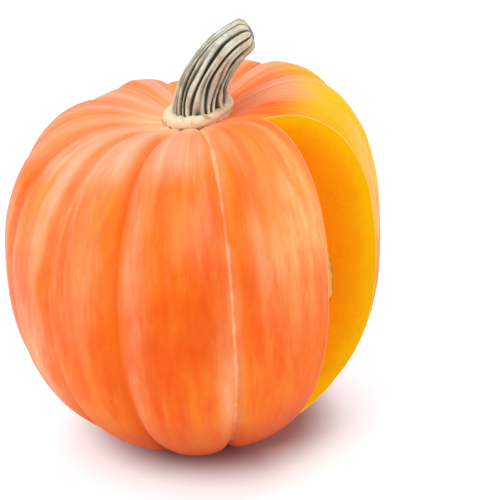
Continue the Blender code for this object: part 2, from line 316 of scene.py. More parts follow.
def add(tree, kind, settings=(), inputs=()):
    """Adds a shader node. An input is a plain value, or another node's output that feeds it."""
    node = tree.nodes.new("ShaderNode" + kind)
    for name, value in dict(settings).items():
        setattr(node, name, value)
    for key, value in dict(inputs).items():
        if isinstance(value, bpy.types.NodeSocket):
            tree.links.new(value, node.inputs[key])
        else:
            node.inputs[key].default_value = value
    return node


def reading(tree, name, output="Fac"):
    """A value that was marked on the piece."""
    return add(tree, "Attribute", {"attribute_name": name}).outputs[output]


def share_of(tree, value, low, high, at_low=0.0, at_high=1.0):
    """How far a value has come from low to high, eased at both ends."""
    settings = {"interpolation_type": "SMOOTHSTEP"}
    inputs = {"Value": value, "From Min": low, "From Max": high, "To Min": at_low, "To Max": at_high}
    return add(tree, "MapRange", settings, inputs).outputs[0]


def times(tree, first, second):
    return add(tree, "Math", {"operation": "MULTIPLY"}, {0: first, 1: second}).outputs[0]


def plus(tree, first, second):
    return add(tree, "Math", {"operation": "ADD"}, {0: first, 1: second}).outputs[0]


def mixed(tree, share, first, second):
    """The first colour, with a share of the second laid over it."""
    return add(tree, "Mix", {"data_type": "RGBA"}, {0: share, 6: first, 7: second}).outputs[2]


def clouds(tree, place, size, detail=4.0, roughness=0.55, stretch=None):
    """Soft noise whose patches are about size metres across. stretch makes them longer along one way."""
    if stretch:
        place = add(tree, "Mapping", {}, {"Vector": place, "Scale": stretch}).outputs[0]
    inputs = {"Vector": place, "Scale": 1 / size, "Detail": detail, "Roughness": roughness}
    return add(tree, "TexNoise", {}, inputs).outputs["Fac"]


def coloured_by(tree, value, *stops):
    """A colour that runs through its stops, each a place from 0 to 1 with its colour."""
    ramp = add(tree, "ValToRGB", {}, {"Fac": value})
    elements = ramp.color_ramp.elements
    for number, (place, shade) in enumerate(stops):
        element = elements[number] if number < 2 else elements.new(place)
        element.position = place
        element.color = shade
    return ramp.outputs["Color"]


def bumped(tree, height, distance, strength):
    return add(tree, "Bump", {}, {"Height": height, "Distance": distance, "Strength": strength}).outputs[0]


def new_finish(name, roughness, gloss_level, coat=0.0, coat_roughness=0.3):
    """A new material with its shader, which gets its colour and relief from the nodes that follow."""
    material = bpy.data.materials.new(name)
    material.use_nodes = True
    tree = material.node_tree
    shader = tree.nodes["Principled BSDF"]
    shader.inputs["Roughness"].default_value = roughness
    shader.inputs["Specular IOR Level"].default_value = gloss_level
    shader.inputs["Coat Weight"].default_value = coat
    shader.inputs["Coat Roughness"].default_value = coat_roughness
    return material, tree, shader


def grain_group():
    """Fine wet cells of cut flesh and pulp: a mask of pale cells, and a height for their relief."""
    group = bpy.data.node_groups.new("cell_grain", "ShaderNodeTree")
    group.interface.new_socket("Place", in_out="INPUT", socket_type="NodeSocketVector")
    group.interface.new_socket("Cells", in_out="INPUT", socket_type="NodeSocketFloat")
    group.interface.new_socket("Mask", in_out="OUTPUT", socket_type="NodeSocketFloat")
    group.interface.new_socket("Height", in_out="OUTPUT", socket_type="NodeSocketFloat")
    start = group.nodes.new("NodeGroupInput")
    end = group.nodes.new("NodeGroupOutput")
    inputs = {"Vector": start.outputs["Place"], "Scale": start.outputs["Cells"]}
    cells = add(group, "TexVoronoi", {}, inputs).outputs["Distance"]
    soft = add(group, "TexNoise", {}, {**inputs, "Detail": 3.0}).outputs["Fac"]
    group.links.new(share_of(group, cells, 0.15, 0.75, 1.0, 0.0), end.inputs["Mask"])
    group.links.new(plus(group, times(group, cells, 0.5), soft), end.inputs["Height"])
    return group


CELL_GRAIN = grain_group()


def grain(tree, place, cells):
    node = add(tree, "Group", {"node_tree": CELL_GRAIN}, {"Place": place, "Cells": cells})
    return node.outputs["Mask"], node.outputs["Height"]


ORANGE = colour(252, 104, 12)
RED_ORANGE = colour(244, 82, 8)
LIGHT_ORANGE = colour(254, 138, 36)
PINK_BLOOM = colour(253, 150, 92)
# The two bloom colours that follow are waxy bloom and painted highlight at once.
PALE_BLOOM_HIGHLIGHT = colour(253, 178, 138)
AMBER_BLOOM_HIGHLIGHT = colour(254, 187, 116)
SALMON = colour(253, 175, 142)
RIPE_ORANGE = colour(234, 74, 4)
# The colour of the painted shade on the underside.
UNDERSIDE_SHADE_RED = colour(208, 66, 10)
# The colour of the painted shade in the valleys.
VALLEY_SHADE_ORANGE = colour(254, 118, 1)
PEACH = colour(254, 196, 150)
SIDE_YELLOW = colour(254, 196, 6)
# The colour of the painted shade at the collar's edge and at the stalk's foot.
CREVICE_SHADE_BROWN = colour(120, 62, 26)

# growing_way is a place on an upright cylinder round the pumpkin, so what follows it runs along the ribs. Its X
# is how far forward that is, and its Y how far to the right.
rind_finish, tree, shader = new_finish("waxy_rind", 0.4, 0.12)
object_place = add(tree, "TexCoord").outputs["Object"]
growing_way = reading(tree, "growing_way", "Vector")
groove_way = reading(tree, "groove_way")
level = reading(tree, "level")
ripe = reading(tree, "ripe")
forward, rightward = add(tree, "SeparateXYZ", {}, {0: growing_way}).outputs[:2]
mottling = clouds(tree, growing_way, 0.036, 5.0, 0.6, (1, 1, 0.45))
streaks = clouds(tree, growing_way, 0.0105, 3.0, 0.6, (1, 1, 0.14))
fine_streaks = clouds(tree, growing_way, 0.0040, 3.0, 0.6, (1, 1, 0.12))
patches = clouds(tree, growing_way, 0.022, 5.0, 0.65, (1, 1, 0.4))
speckles = clouds(tree, object_place, 0.0016, 2.0, 0.5)

# The plain skin: red to light orange mottling, with streaks that run from stalk to blossom end.
skin = coloured_by(tree, mottling, (0.30, RED_ORANGE), (0.5, ORANGE), (0.72, LIGHT_ORANGE))
skin = mixed(tree, share_of(tree, streaks, 0.46, 0.70, 0.0, 0.5), skin, LIGHT_ORANGE)
skin = mixed(tree, share_of(tree, streaks, 0.30, 0.47, 0.42, 0.0), skin, RED_ORANGE)
skin = mixed(tree, times(tree, ripe, share_of(tree, patches, 0.3, 0.6, 0.9, 0.45)), skin, RIPE_ORANGE)
unripe = share_of(tree, ripe, 0.0, 0.8, 1.0, 0.1)
unripe = times(tree, unripe, share_of(tree, level, 0.11, 0.18, 0.5, 1.0))
streak_colour = mixed(tree, share_of(tree, rightward, 0.03, 0.07), PINK_BLOOM, LIGHT_ORANGE)
pale_streaks = times(tree, unripe, share_of(tree, fine_streaks, 0.5, 0.74, 0.0, 0.4))
skin = mixed(tree, pale_streaks, skin, streak_colour)
pale_patches = times(tree, unripe, share_of(tree, patches, 0.50, 0.70, 0.0, 0.4))
skin = mixed(tree, pale_patches, skin, streak_colour)

# Waxy bloom and painted highlights on the rib crests, pink to the left and amber to the right, and all over the
# crown.
on_crest = share_of(tree, reading(tree, "crest"), 0.05, 0.75, 0.15, 1.0)
streaky = share_of(tree, streaks, 0.35, 0.65, 0.5, 1.0)
# Painted highlight: the bloom patches are laid where the light glints on the waxy crests.
bloom_and_highlight = times(tree, reading(tree, "bloom_and_highlight"), share_of(tree, patches, 0.35, 0.62, 0.4, 1.0))
bloom_and_highlight = times(tree, times(tree, bloom_and_highlight, share_of(tree, on_crest, 0.15, 1.0, 0.6, 1.0)), streaky)
bloom_and_highlight_colour = mixed(tree, share_of(tree, rightward, 0.015, 0.075), PALE_BLOOM_HIGHLIGHT, AMBER_BLOOM_HIGHLIGHT)
skin = mixed(tree, bloom_and_highlight, skin, bloom_and_highlight_colour)
# The salmon crown is partly the skin's own colour and partly painted sheen, stronger on the rib crests.
crown_level = plus(tree, plus(tree, level, times(tree, rightward, -0.09)), times(tree, forward, -0.07))
stalk_way = reading(tree, "stalk_way")
front_right = times(tree, share_of(tree, rightward, 0.02, 0.06), share_of(tree, forward, 0.0, 0.06))
front_right = times(tree, front_right, share_of(tree, stalk_way, 32.0, 52.0))
crown_level = plus(tree, crown_level, times(tree, front_right, -0.016))
crown = share_of(tree, crown_level, 0.210, 0.225)
crown = times(tree, crown, share_of(tree, patches, 0.36, 0.58, 0.45, 1.0))
crown = times(tree, crown, share_of(tree, on_crest, 0.15, 1.0, 0.5, 1.0))
crown = times(tree, crown, share_of(tree, streaky, 0.5, 1.0, 0.75, 1.0))
crown = times(tree, crown, share_of(tree, ripe, 0.0, 0.8, 1.0, 0.3))
skin = mixed(tree, crown, skin, SALMON)
amber = share_of(tree, clouds(tree, growing_way, 0.016, 4.0, 0.6, (1, 1, 0.35)), 0.54, 0.68, 0.0, 0.5)
skin = mixed(tree, times(tree, amber, unripe), skin, LIGHT_ORANGE)

# Painted valley shade, pores, the cut's rim with a painted highlight, the yellow right side, and the pale
# groove line.
# Painted shade: deeper orange on the shaded side of each groove.
painted_valley_shade = times(tree, reading(tree, "valley_shade"), share_of(tree, patches, 0.3, 0.6, 0.9, 0.6))
skin = mixed(tree, painted_valley_shade, skin, VALLEY_SHADE_ORANGE)
skin = mixed(tree, share_of(tree, speckles, 0.64, 0.74, 0.0, 0.07), skin, PEACH)
# The skin's pale edge along the cut, with a painted highlight where the cut edge catches the light.
skin = mixed(tree, share_of(tree, reading(tree, "cut_way"), 0.3, 1.1, 0.35, 0.0), skin, PEACH)
# The skin turns yellow on the upper right-hand side.
yellow_patches = share_of(tree, patches, 0.3, 0.6, 0.85, 1.0)
yellowing = times(tree, reading(tree, "yellow_side"), yellow_patches)
yellowing = times(tree, yellowing, share_of(tree, stalk_way, 52.0, 90.0))
ragged_level = plus(tree, level, share_of(tree, patches, 0.3, 0.7, -0.03, 0.03))
yellowing = times(tree, yellowing, share_of(tree, ragged_level, 0.10, 0.20, 0.1, 1.0))
skin = mixed(tree, yellowing, skin, SIDE_YELLOW)
beside_groove = share_of(tree, groove_way, 1.2, 7.0, 1.0, 0.0)
beside_groove = times(tree, beside_groove, share_of(tree, patches, 0.35, 0.6, 0.2, 0.9))
beside_groove = times(tree, beside_groove, reading(tree, "groove_pale"))
skin = mixed(tree, beside_groove, skin, PINK_BLOOM)
wobbling = clouds(tree, object_place, 0.014, 2.0, 0.5)
wobbling_way = plus(tree, groove_way, share_of(tree, wobbling, 0.3, 0.7, -0.4, 0.7))
groove_line = times(tree, share_of(tree, wobbling_way, -0.2, 1.7, 1.0, 0.0), reading(tree, "groove_pale"))
groove_line = times(tree, groove_line, share_of(tree, patches, 0.35, 0.55, 0.7, 1.0))
skin = mixed(tree, groove_line, skin, PEACH)

# Round the stalk: orange on the right, pale cork in front and on the left, and a brown line of painted shade at
# the collar.
# The underside is darker and redder, which is painted shade.
orange_right = share_of(tree, rightward, 0.05, 0.11)
orange_right = times(tree, orange_right, share_of(tree, stalk_way, 26.0, 54.0, 0.3, 0.0))
skin = mixed(tree, orange_right, skin, ORANGE)
corky = share_of(tree, rightward, 0.0, 0.10, 1.0, 0.2)
corky = times(tree, corky, share_of(tree, forward, -0.10, 0.03, 0.4, 1.0))
corky = times(tree, share_of(tree, stalk_way, 24.0, 60.0, 1.0, 0.0), times(tree, corky, streaky))
skin = mixed(tree, corky, skin, PEACH)
# Painted shade: a thin brown line where the collar's lip meets the skin, fading out to the right.
shade_line_way = plus(tree, stalk_way, share_of(tree, clouds(tree, object_place, 0.006), 0.3, 0.7, -0.7, 0.9))
collar_shade = share_of(tree, shade_line_way, 23.4, 24.6, 0.85, 0.0)
collar_shade = times(tree, collar_shade, share_of(tree, rightward, 0.0, 0.09, 1.0, 0.0))
skin = mixed(tree, collar_shade, skin, CREVICE_SHADE_BROWN)
# Painted shade: the skin darkens towards the floor.
skin = mixed(tree, share_of(tree, level, 0.012, 0.08, 0.75, 0.0), skin, UNDERSIDE_SHADE_RED)
tree.links.new(skin, shader.inputs["Base Color"])
satin = share_of(tree, mottling, 0.3, 0.7, 0.34, 0.46)
satin = plus(tree, satin, share_of(tree, ripe, 0.0, 0.8, 0.0, 0.25))
tree.links.new(satin, shader.inputs["Roughness"])
fine_relief = plus(tree, times(tree, fine_streaks, 0.3), times(tree, speckles, 0.15))
relief = plus(tree, times(tree, streaks, 0.5), fine_relief)
tree.links.new(bumped(tree, relief, 0.0008, 0.5), shader.inputs["Normal"])

# The first flesh colour is the rind's pale cut edge and a painted highlight along it.
FLESH_RIM_AND_HIGHLIGHT = colour(255, 214, 92)
FLESH_YELLOW = colour(253, 186, 2)
FLESH_GOLD = colour(254, 162, 0)
FLESH_ORANGE = colour(254, 141, 0)
FLESH_PALE = colour(254, 178, 6)

flesh_finish, tree, shader = new_finish("cut_flesh", 0.42, 0.03)
object_place = add(tree, "TexCoord").outputs["Object"]
under_skin = reading(tree, "under_skin")
uneven = clouds(tree, object_place, 0.012, 5.0, 0.6)
depth = plus(tree, under_skin, share_of(tree, uneven, 0.25, 0.75, -2.0, 2.0))
depth_share = add(tree, "MapRange", {}, {"Value": depth, "From Min": 0.0, "From Max": 40.0}).outputs[0]
yellow_stops = ((0.0, FLESH_YELLOW), (0.09, FLESH_YELLOW))
orange_stops = ((0.26, FLESH_GOLD), (0.55, FLESH_ORANGE), (1.0, FLESH_ORANGE))
flesh = coloured_by(tree, depth_share, *yellow_stops, *orange_stops)
pale_cells, cell_height = grain(tree, object_place, FLESH_CELLS)
flesh = mixed(tree, times(tree, pale_cells, 0.16), flesh, FLESH_PALE)
# The rind's pale cut edge, which also serves as a painted highlight along the cut.
flesh = mixed(tree, share_of(tree, under_skin, 0.25, 0.9, 0.85, 0.0), flesh, FLESH_RIM_AND_HIGHLIGHT)
tree.links.new(flesh, shader.inputs["Base Color"])
tree.links.new(bumped(tree, cell_height, 0.0004, 0.6), shader.inputs["Normal"])

rind = placed_sphere("rind_and_flesh", COLUMNS_PER_RIB * len(GROOVE_AZIMUTHS), RIND_RINGS, rind_point)
rind.data.materials.append(rind_finish)
rind_corners = [vertex.co.copy() for vertex in rind.data.vertices]
whole_rind = BVHTree.FromPolygons(rind_corners, [face.vertices[:] for face in rind.data.polygons])


def knife_marks(point, azimuth, distance):
    """The slow waviness that a knife leaves."""
    wave = Vector((KNIFE_WAVES_ALONG * distance, KNIFE_WAVES_UP * point.z, azimuth))
    return KNIFE_WANDER * noise.noise(wave)


def core_shape(gap):
    """The place function of the hollow in the flesh, or of the core that fills it with a gap all round."""

    def place(around, polar):
        radius = (HOLLOW_RADIUS - gap) * math.sin(polar)
        level = (HOLLOW_HALF_HEIGHT - gap) * math.cos(polar)
        return CORE_MIDDLE + Vector((radius * math.sin(around), -radius * math.cos(around), level))

    return place


hollow = placed_sphere("hollow", HOLLOW_COLUMNS, HOLLOW_RINGS, core_shape(0))
hollow.data.materials.append(flesh_finish)
cut_away(rind, hollow)
knife = wedge_knife("knife", FLESH_STEP, WEDGE_BOTTOM, WEDGE_TOP, WEDGE_ARM, knife_marks)
knife.data.materials.append(flesh_finish)
cut_away(rind, knife)

to_own_frame = RESTING.inverted()
growing_ways = []
skin_marks = {}
for vertex in rind.data.vertices:
    own = to_own_frame @ vertex.co
    degrees = math.degrees(math.atan2(own.x, -own.y)) % 360
    if degrees < GROOVE_AZIMUTHS[0]:
        degrees += 360
    rib = sum(degrees >= groove for groove in GROOVE_AZIMUTHS) - 1
    before = degrees - GROOVE_AZIMUTHS[rib]
    after = groove_after(rib) - degrees
    distance = own.xy.length
    turn = math.radians(degrees)
    growing_ways.append((BODY_RADIUS * math.cos(turn), BODY_RADIUS * math.sin(turn), own.z))
    nearer = rib if before < after else (rib + 1) % len(GROOVE_AZIMUTHS)
    from_stalk = own.xy - Vector((STEM_OFFSET_RIGHT, 0))
    # How much painted shade the valleys on both sides lay on this point.
    valley_shade = 0.0
    for groove, turned in ((rib, before), ((rib + 1) % len(GROOVE_AZIMUTHS), -after)):
        way = math.radians(turned) * distance * 1000 * VALLEY_SHADED_SIDES[groove]
        width = VALLEY_SOFT_SIDE_MM if way > 0 else VALLEY_SHARP_SIDE_MM
        valley_shade += VALLEY_PAINTED_SHADES[groove] * math.exp(-((way / width) ** 2))
    from_edge = vertex.co - WEDGE_EDGE
    cut_distances = [FAR_FROM_CUT_MM]
    for azimuth in (NEAR_FACE_AZIMUTH, FAR_FACE_AZIMUTH):
        if from_edge.dot(face_direction(azimuth)) > 0:
            cut_distances.append(abs(from_edge.dot(face_direction(azimuth + math.pi / 2))) * 1000)
    for name, value in (
        ("groove_way", math.radians(min(before, after)) * distance * 1000),
        ("groove_pale", GROOVE_PALENESS[nearer]),
        ("crest", max(1 - abs(before - after) / (before + after), 1 - GROOVE_SHARES[nearer])),
        ("level", own.z),
        ("yellow_side", math.exp(-(((degrees - YELLOW_SIDE_AZIMUTH) / YELLOW_SIDE_HALF_WIDTH) ** 4))),
        ("under_skin", whole_rind.find_nearest(vertex.co)[3] * 1000),
        ("cut_way", min(cut_distances)),
        # Where the waxy bloom and painted highlights lie.
        ("bloom_and_highlight", patch_share(BLOOM_AND_HIGHLIGHT_PATCHES, degrees, own.z)),
        ("ripe", patch_share(RIPE_PATCHES, degrees, own.z)),
        ("valley_shade", min(1.0, valley_shade)),
        ("stalk_way", from_stalk.length * 1000 / collar_share(math.atan2(from_stalk.x, -from_stalk.y))),
    ):
        skin_marks.setdefault(name, []).append(value)
mark(rind, "growing_way", growing_ways, "FLOAT_VECTOR")
for name, values in skin_marks.items():
    mark(rind, name, values)
smooth_finish(rind, RIND_SHARP_ANGLE)
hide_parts("pumpkin_body")
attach(rind, "root")

# Seed pulp. The soft stringy core that fills the hollow. The knife left it with two torn faces, with a pocket
# under each seed, and it is grown to the flesh all round.

PULP_GAP = 0.00005
PULP_STEP = 0.0013
PULP_FIBRE_DEPTH = 0.0011
PULP_EVEN_DEPTH = 0.45
FIBRES_ALONG = 60
FIBRES_UP = 230
PULP_CELLS = 640.0
CORE_COLUMNS = 144
CORE_RINGS = 96
CORE_CUT_BOTTOM = 0.035
CORE_CUT_TOP = 0.205
CORE_CUT_ARM = 0.115
CORE_SHARP_ANGLE = 60
POCKET_MARGIN = 0.001
POCKET_SLOPE = 3
NO_POCKET = 9.0
CUT_FACE_REACH = 0.006
SEED_LENGTH = 0.211 * HOLLOW_RADIUS
SEED_WIDTH = 0.1055 * HOLLOW_RADIUS
SEED_THICKNESS = 0.04 * HOLLOW_RADIUS
SEED_SINK = 0.0009
SEED_EDGE_MARGIN = 0.001
SEED_TURN = math.radians(12)
SEED_TIP = math.radians(22)
NEAR_FACE_SEEDS = (4, 2)
FAR_FACE_SEEDS = (4, 3, 2)
SEED_WANDER = 0.002
# What makes the seeds uneven: how far each sine moves on from row to row and from column to column.
WANDER_STEPS = (3.1, 1.3)
TURN_STEPS = (2.4, 1.9)
TIP_STEPS = (1.7, 2.6)


def core_half_height(spot):
    """Half the core's height at a spot of its plan."""
    distance = (spot - CORE_MIDDLE).xy.length
    return HOLLOW_HALF_HEIGHT * math.sqrt(max(0.0, 1 - (distance / HOLLOW_RADIUS) ** 2))


def seed_places(azimuth, inward_side, column_counts):
    """Where the seeds of one cut face sit: in upright columns, each spread over the core's height."""
    upward = Vector((0, 0, 1))
    direction = face_direction(azimuth)
    across = upward.cross(direction)
    facing = Matrix((direction, across, upward)).transposed().to_4x4()
    places = []
    for column, count in enumerate(column_counts):
        outward = (column + 0.5) * (SEED_WIDTH + 2 * POCKET_MARGIN) + SEED_EDGE_MARGIN
        spot = WEDGE_EDGE + outward * direction
        far_side = spot + (SEED_WIDTH / 2 + POCKET_MARGIN) * direction
        highest = core_half_height(far_side) - SEED_LENGTH / 2 - POCKET_MARGIN - SEED_WANDER
        for row in range(count):
            steps = (WANDER_STEPS, TURN_STEPS, TIP_STEPS)
            wander, turned, tipped = (by_row * row + by_column * column for by_row, by_column in steps)
            level = highest * (2 * row / (count - 1) - 1) + CORE_MIDDLE.z + SEED_WANDER * math.sin(wander)
            centre = spot + inward_side * SEED_SINK * across + level * upward
            turn = Matrix.Rotation(SEED_TURN * math.sin(turned + azimuth), 4, "Y")
            tip = Matrix.Rotation(SEED_TIP * math.cos(tipped + azimuth), 4, "Z")
            places.append(Matrix.Translation(centre) @ facing @ turn @ tip)
    return places


near_places = seed_places(NEAR_FACE_AZIMUTH, -1, NEAR_FACE_SEEDS)
far_places = seed_places(FAR_FACE_AZIMUTH, 1, FAR_FACE_SEEDS)
to_near_seeds = [place.inverted() for place in near_places]
to_far_seeds = [place.inverted() for place in far_places]


def pocket_reach(point, azimuth):
    """How far a point of a cut face is from the nearest seed's middle, with 1 at the rim of its pocket."""
    places = to_near_seeds if azimuth == NEAR_FACE_AZIMUTH else to_far_seeds
    nearest = NO_POCKET
    for place in places:
        own = place @ point
        across = own.x / (SEED_WIDTH / 2 + POCKET_MARGIN)
        along = own.z / (SEED_LENGTH / 2 + POCKET_MARGIN)
        nearest = min(nearest, math.hypot(across, along))
    return nearest


def torn_pulp(point, azimuth, distance):
    """Strings and small hollows in the cut face, and a pocket that goes under each seed."""
    strings = noise.fractal(Vector((FIBRES_ALONG * distance, FIBRES_UP * point.z, azimuth)), 1.0, 2.0, 4)
    dent = PULP_FIBRE_DEPTH * (PULP_EVEN_DEPTH + strings)
    reach = pocket_reach(point, azimuth)
    if reach < 1:
        return SEED_SINK + (SEED_THICKNESS / 2 + POCKET_MARGIN) * math.sqrt(1 - reach * reach)
    return dent * min(1.0, (reach - 1) * POCKET_SLOPE)


PULP_ORANGE = colour(246, 128, 12)
PULP_DEEP = colour(205, 70, 4)
PULP_PALE = colour(255, 186, 62)
PULP_HALO = colour(255, 205, 84)

pulp_finish, tree, shader = new_finish("stringy_pulp", 0.38, 0.3, 0.1, 0.2)
object_place = add(tree, "TexCoord").outputs["Object"]
strings = clouds(tree, object_place, 0.0030, 6.0, 0.65, (1, 1, 3.2))
soft = clouds(tree, object_place, 0.011, 4.0, 0.6)
pulp = coloured_by(tree, strings, (0.34, PULP_DEEP), (0.5, PULP_ORANGE), (0.68, PULP_PALE))
pulp = mixed(tree, share_of(tree, soft, 0.35, 0.65, 0.0, 0.35), pulp, PULP_ORANGE)
# Painted shade: the pulp darkens in and round the pocket under each seed.
pulp = mixed(tree, share_of(tree, reading(tree, "pocket"), 0.85, 1.3, 0.75, 0.0), pulp, PULP_DEEP)
rim_way = plus(tree, reading(tree, "core_way"), share_of(tree, soft, 0.3, 0.7, -2.5, 2.5))
pulp = mixed(tree, share_of(tree, rim_way, 1.0, 8.0, 0.9, 0.0), pulp, PULP_HALO)
pale_cells, cell_height = grain(tree, object_place, PULP_CELLS)
pulp = mixed(tree, times(tree, pale_cells, 0.15), pulp, PULP_PALE)
tree.links.new(pulp, shader.inputs["Base Color"])
relief = plus(tree, strings, times(tree, cell_height, 0.3))
tree.links.new(bumped(tree, relief, 0.0012, 0.8), shader.inputs["Normal"])

core = placed_sphere("stringy_core", CORE_COLUMNS, CORE_RINGS, core_shape(PULP_GAP))
core.data.materials.append(pulp_finish)
knife = wedge_knife("pulp_knife", PULP_STEP, CORE_CUT_BOTTOM, CORE_CUT_TOP, CORE_CUT_ARM, torn_pulp)
knife.data.materials.append(pulp_finish)
cut_away(core, knife)
pockets, core_ways = [], []
for vertex in core.data.vertices:
    from_edge = vertex.co - WEDGE_EDGE
    reaches = [
        pocket_reach(vertex.co, azimuth)
        for azimuth in (NEAR_FACE_AZIMUTH, FAR_FACE_AZIMUTH)
        if abs(from_edge.dot(face_direction(azimuth + math.pi / 2))) < CUT_FACE_REACH
    ]
    pockets.append(min(reaches, default=NO_POCKET))
    own = vertex.co - CORE_MIDDLE
    swollen = Vector((own.x / HOLLOW_RADIUS, own.y / HOLLOW_RADIUS, own.z / HOLLOW_HALF_HEIGHT)).length
    core_ways.append((1 - swollen) * HOLLOW_RADIUS * 1000)
mark(core, "pocket", pockets)
mark(core, "core_way", core_ways)
smooth_finish(core, CORE_SHARP_ANGLE)
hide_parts("seed_pulp")
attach(core, "root")

# Seeds. Flat cream seeds with a thin raised rim and one pointed end, half sunk in pockets of the pulp. One is
# modelled as a flattened ball, and a copy of it is set in each pocket.

SEED_POINTEDNESS = 0.38
SEED_GROOVE_DEPTH = 0.28
SEED_GROOVE_PLACE = 0.84
SEED_GROOVE_WIDTH = 0.07
SEED_COLUMNS = 40
SEED_RINGS = 28
SEED_SHARP_ANGLE = 60
SEED_CREAM = colour(250, 226, 176)
SEED_TAN = colour(226, 170, 98)
SEED_WET = colour(240, 176, 84)

seed_finish, tree, shader = new_finish("seed_coat", 0.34, 0.4, 0.2, 0.15)
object_place = add(tree, "TexCoord").outputs["Object"]
seed_mottling = clouds(tree, object_place, 0.004, 4.0, 0.6)
coat = mixed(tree, share_of(tree, seed_mottling, 0.4, 0.7, 0.0, 0.6), SEED_CREAM, SEED_WET)
coat = mixed(tree, share_of(tree, reading(tree, "rim"), 0.70, 0.92, 0.0, 0.8), coat, SEED_TAN)
tree.links.new(coat, shader.inputs["Base Color"])
fine = clouds(tree, object_place, 0.0006, 3.0, 0.5)
tree.links.new(bumped(tree, fine, 0.0002, 0.5), shader.inputs["Normal"])


def seed_point(around, polar):
    """A point of a seed: long along Z, wide along X, thin along Y, with a groove inside its rim."""
    along = math.cos(polar)
    girth = math.sin(polar) * (1 - SEED_POINTEDNESS * max(0.0, along))
    from_groove = (abs(math.sin(around)) - SEED_GROOVE_PLACE) / SEED_GROOVE_WIDTH
    flatness = 1 - SEED_GROOVE_DEPTH * math.exp(-(from_groove**2)) * math.sin(polar)
    across = SEED_WIDTH / 2 * girth * math.sin(around)
    outwards = -SEED_THICKNESS / 2 * girth * math.cos(around) * flatness
    return Vector((across, outwards, SEED_LENGTH / 2 * along))


first_seed = placed_sphere("seed_model", SEED_COLUMNS, SEED_RINGS, seed_point)
first_seed.data.materials.append(seed_finish)
rim_ways = [
    math.hypot(vertex.co.x / (SEED_WIDTH / 2), vertex.co.z / (SEED_LENGTH / 2))
    for vertex in first_seed.data.vertices
]
mark(first_seed, "rim", rim_ways)
smooth_finish(first_seed, SEED_SHARP_ANGLE)
for number, place in enumerate(near_places + far_places, start=1):
    seed = first_seed.copy()
    seed.data = first_seed.data.copy()
    seed.name = seed.data.name = f"cream_seed_{number:02d}"
    bpy.context.scene.collection.objects.link(seed)
    seed.data.transform(place)
    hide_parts(f"seed_{number:02d}")
    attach(seed, "root")
bpy.data.objects.remove(first_seed)

# Stem. A dry woody stalk with deep furrows, bent to the right and cut off at its tip. It grows out of the
# dimple in the crown through a pale corky collar, whose foot goes a little way down into the crown.

COLLAR_RADIUS = 0.0235
LIP_RADIUS = 0.0051
LIP_LEVEL = 0.0038
LIP_START = math.radians(-50)
LIP_END = math.radians(150)
LIP_THINNEST = 0.62
LIP_LUMPINESS = 0.25
LIP_ROUGHNESS = 0.0003
COLLAR_LUMPINESS = 0.03
CORK_SHARE = 0.86
NECK_RADIUS = 0.0182
NECK_SHIFT_RIGHT = 0.0010
TIP_RADIUS = 0.0098
TIP_ROUNDING = 0.0052
TIP_BULGE = 0.0012
STEM_RUN = 0.066
STEM_LENGTH_UP = 0.0545
STEM_REACH_RIGHT = 0.0343
STEM_STRAIGHT = 0.016
STEM_SHOULDER_RIGHT = 0.010
STEM_SHOULDER_UP = 0.045
STALK_START = 0.06
STALK_TWIST = 0.25
STALK_TAPERING = 0.9
STALK_FOOT_INSET = 0.0012
FURROW_COUNT = 12
FURROW_SHARPNESS = 10
FURROW_WANDER = 0.16
SIDE_FURROW_WANDER = 0.66
SIDE_FURROW_DEEPEST = 0.8
RIDGE_HEIGHT = 0.0014
RIDGE_START = 0.054
RIDGE_GROWTH = 0.07
RIDGE_FADING = 0.35
FURROW_DROP = 0.0040
BARK_ROUGHNESS = 0.00035
STEM_SHARP_ANGLE = 55
STEM_COLUMNS = 288
STEM_RINGS = 140
FOOT_RINGS = 6
LIP_RINGS = 22
CAP_RINGS = 8
ROUNDING_RINGS = 10
FOOT_DEPTH = 0.005
SEAT_TILT = math.radians(-11)
SEAT_LIFT = 0.002


def stem_path(share):
    """The stem's middle and its direction, for a share of its length from 0 at the foot to 1 at the tip."""
    controls = (
        Vector((0, 0, 0)),
        Matrix.Rotation(SEAT_TILT, 3, "Y") @ Vector((0, 0, STEM_STRAIGHT)),
        Vector((STEM_SHOULDER_RIGHT, 0, STEM_SHOULDER_UP)),
        Vector((STEM_REACH_RIGHT, 0, STEM_LENGTH_UP)),
    )
    rest = 1 - share
    weights = (rest**3, 3 * rest**2 * share, 3 * rest * share**2, share**3)
    middle = sum((weight * point for weight, point in zip(weights, controls)), Vector())
    slopes = (rest**2, 2 * rest * share, share**2)
    steps = (controls[1] - controls[0], controls[2] - controls[1], controls[3] - controls[2])
    direction = sum((slope * step for slope, step in zip(slopes, steps)), Vector())
    return middle, direction.normalized()


# What the stalk's material reads at each point of the stem, kept while the points are placed.
stem_marks = {}


